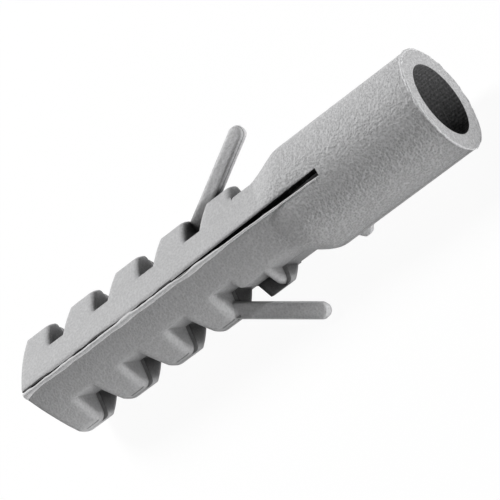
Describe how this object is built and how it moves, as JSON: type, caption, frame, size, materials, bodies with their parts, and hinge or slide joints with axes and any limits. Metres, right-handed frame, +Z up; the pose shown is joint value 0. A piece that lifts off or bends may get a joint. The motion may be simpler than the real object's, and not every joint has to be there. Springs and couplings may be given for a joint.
{
  "type": "plastic wall plug",
  "caption": "Grey nylon wall plug: round collar with a screw bore, and a body split lengthwise with blunt teeth and springy tongues. It lies on its side.",
  "frame": {"origin": "centre of the mouth, on the axis of the screw bore", "axes": "+X along the plug's axis and out of its mouth, +Z up with the plug lying on its collar and on the tip of one tongue"},
  "size_m": [0.0475, 0.017, 0.0104],
  "materials": {
    "nylon": "matt, finely grained as moulded"
  },
  "bodies": {
    "root": {"wall_plug": "nylon"}
  },
  "joints": []
}
